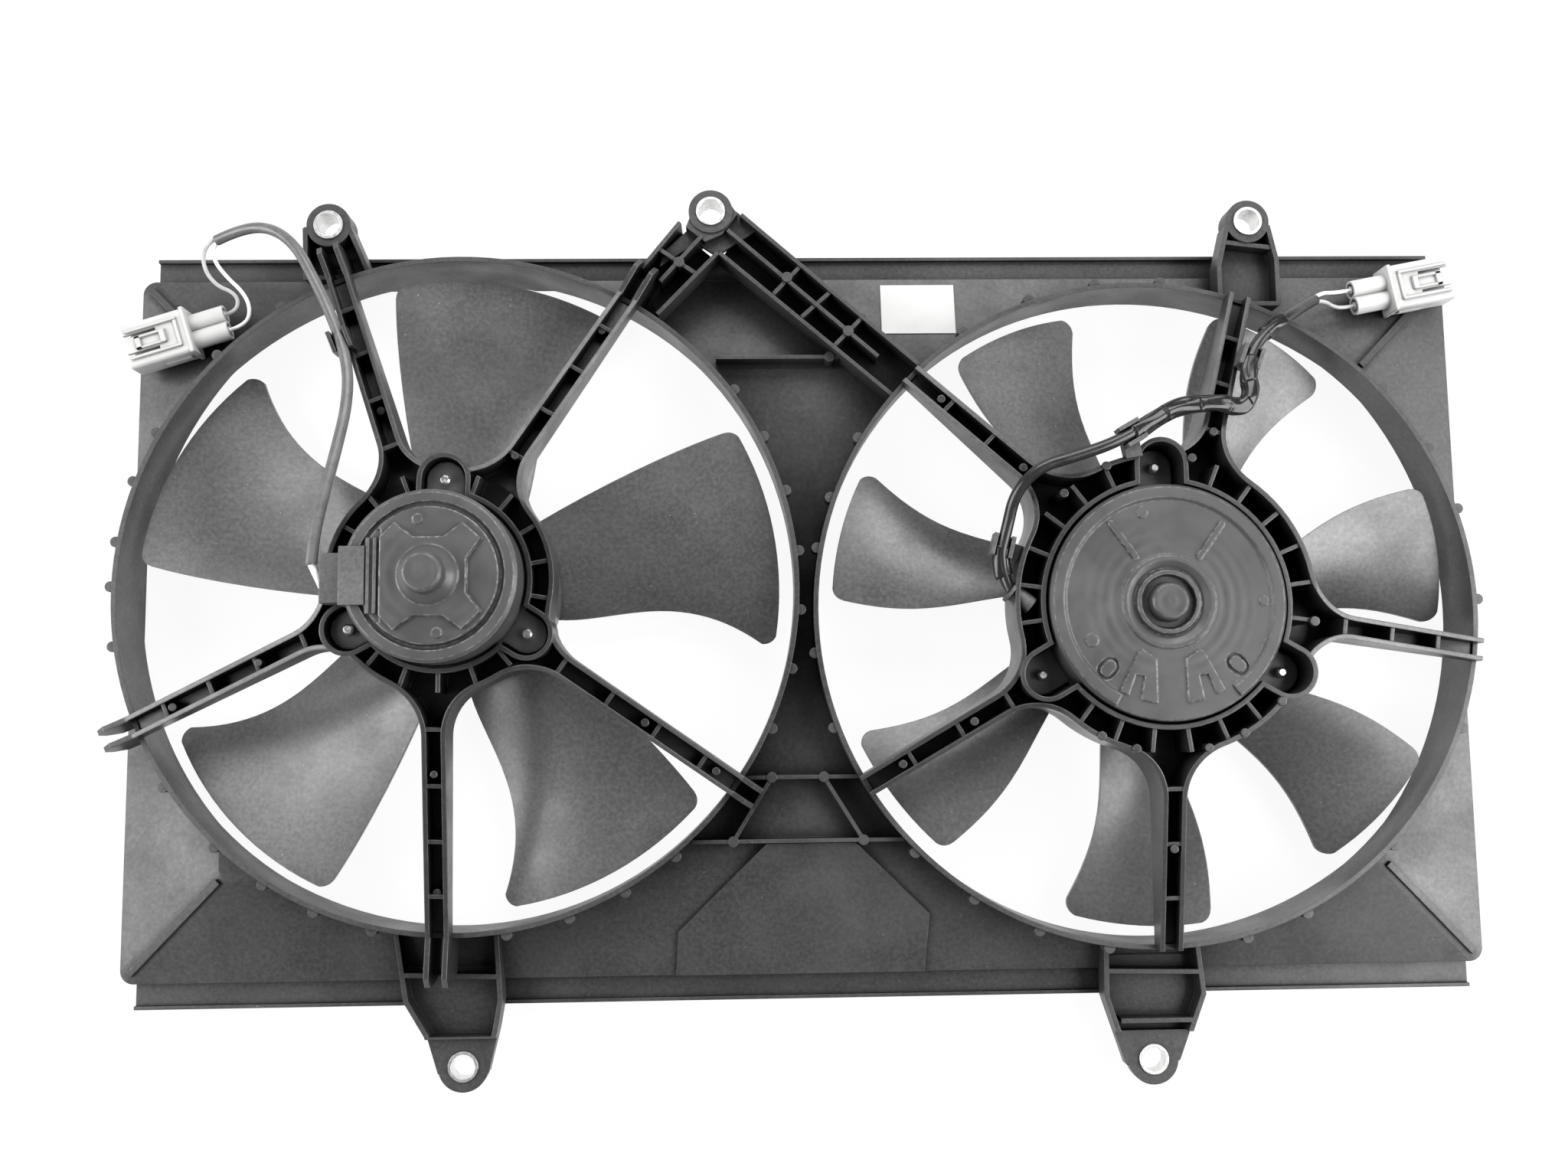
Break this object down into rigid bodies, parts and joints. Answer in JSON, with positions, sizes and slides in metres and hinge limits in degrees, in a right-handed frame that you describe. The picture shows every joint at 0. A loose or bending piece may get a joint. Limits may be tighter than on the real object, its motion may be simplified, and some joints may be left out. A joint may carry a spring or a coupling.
{
  "type": "radiator fan shroud",
  "caption": "Wide, shallow radiator shroud with two electric fans in ring walls, spoked motor carriers, bushed fixing tabs and clipped leads.",
  "frame": {"origin": "centre of the underside, in the plane of the face that meets the radiator", "axes": "+X along the wide side, +Y towards the three upper fixing tabs, +Z away from the radiator, to the motors"},
  "size_m": [0.7068, 0.4654, 0.12],
  "materials": {
    "shroud_plastic": "moulded, slightly worn satin",
    "fan_plastic": "moulded satin",
    "zinc_steel": "zinc plated",
    "motor_steel": "dark coated sheet steel with worn rims",
    "shaft_steel": "ground",
    "copper": "enamelled copper",
    "magnet_ferrite": "sintered",
    "card_plastic": "matt",
    "terminal_plastic": "moulded satin",
    "sleeve_plastic": "satin tubing with tape",
    "grey_wire": "satin insulation",
    "white_wire": "satin insulation",
    "connector_plastic": "moulded satin",
    "label_film": "bare film"
  },
  "bodies": {
    "shroud": {"centre_brace": "shroud_plastic", "left_bottom_tab": "shroud_plastic", "left_brush_holder": "card_plastic", "left_brush_springs": "shaft_steel", "left_brushes": "magnet_ferrite", "left_connector": "connector_plastic", "left_fan_ring": "shroud_plastic", "left_front_bearing": "shaft_steel", "left_lead": "sleeve_plastic", "left_lead_clip": "terminal_plastic", "left_lead_plug": "terminal_plastic", "left_lead_tail": "white_wire", "left_motor_can": "motor_steel", "left_motor_carrier": "shroud_plastic", "left_motor_flange": "motor_steel", "left_motor_front_plate": "motor_steel", "left_motor_magnets": "magnet_ferrite", "left_motor_screws": "zinc_steel", "left_rear_bearing": "shaft_steel", "left_terminal_cover": "terminal_plastic", "left_top_tab": "shroud_plastic", "left_wire_a": "grey_wire", "left_wire_b": "white_wire", "mounting_bushings": "zinc_steel", "part_label": "label_film", "right_bottom_tab": "shroud_plastic", "right_brush_holder": "card_plastic", "right_brush_springs": "shaft_steel", "right_brushes": "magnet_ferrite", "right_connector": "connector_plastic", "right_fan_ring": "shroud_plastic", "right_front_bearing": "shaft_steel", "right_lead": "sleeve_plastic", "right_lead_boot": "terminal_plastic", "right_lead_clips": "terminal_plastic", "right_motor_can": "motor_steel", "right_motor_carrier": "shroud_plastic", "right_motor_flange": "motor_steel", "right_motor_front_plate": "motor_steel", "right_motor_magnets": "magnet_ferrite", "right_motor_screws": "zinc_steel", "right_rear_bearing": "shaft_steel", "right_top_tab": "shroud_plastic", "right_wire_a": "white_wire", "right_wire_b": "grey_wire", "shroud_panel": "shroud_plastic"},
    "left_rotor": {"left_fan": "fan_plastic", "left_fan_nut": "zinc_steel", "left_motor_shaft": "shaft_steel", "left_armature_core": "shaft_steel", "left_armature_windings": "copper", "left_commutator": "copper"},
    "right_rotor": {"right_fan": "fan_plastic", "right_fan_nut": "zinc_steel", "right_motor_shaft": "shaft_steel", "right_armature_core": "shaft_steel", "right_armature_windings": "copper", "right_commutator": "copper"}
  },
  "joints": [
    {"name": "left_fan_spin", "type": "hinge", "parent": "shroud", "child": "left_rotor", "pos_m": [-0.1773, 0.023, 0], "axis": [0, 0, 1], "continuous": true},
    {"name": "right_fan_spin", "type": "hinge", "parent": "shroud", "child": "right_rotor", "pos_m": [0.1742, 0.0097, 0], "axis": [0, 0, 1], "continuous": true}
  ]
}
